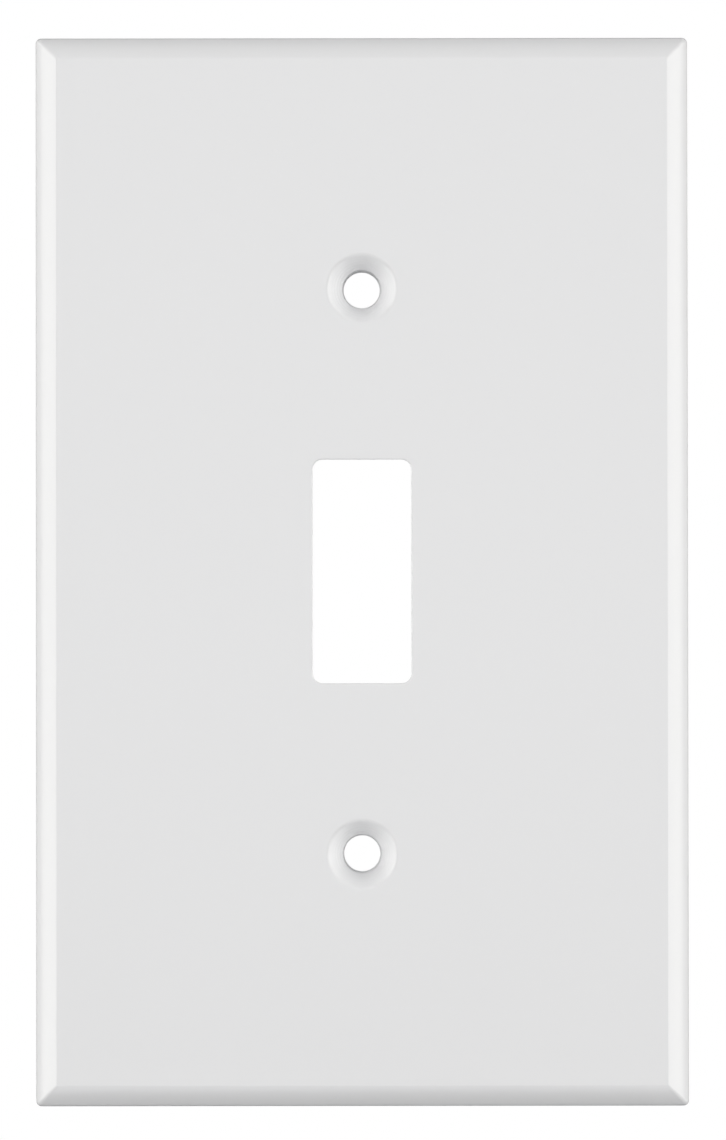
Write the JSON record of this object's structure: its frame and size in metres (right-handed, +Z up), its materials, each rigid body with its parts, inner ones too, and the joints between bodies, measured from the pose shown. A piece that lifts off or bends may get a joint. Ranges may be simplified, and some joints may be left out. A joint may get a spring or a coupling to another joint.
{
  "type": "wall plate",
  "caption": "Upright rectangular wall plate with bevelled edges, a toggle slot in the middle and a countersunk screw hole above and below it, ribbed and hollow behind",
  "frame": {"origin": "middle of the wall plane, which is the rim of the hollow back, level with the middle of the toggle slot and halfway between the screw holes", "axes": "+Z up the wall along the plate's length, +X across its width, +Y into the wall; the front face looks along -Y"},
  "size_m": [0.0698, 0.0056, 0.1142],
  "materials": {
    "plate_plastic": "moulded white thermoset, smooth and lightly glossy"
  },
  "bodies": {
    "root": {"wall_plate": "plate_plastic"}
  },
  "joints": []
}
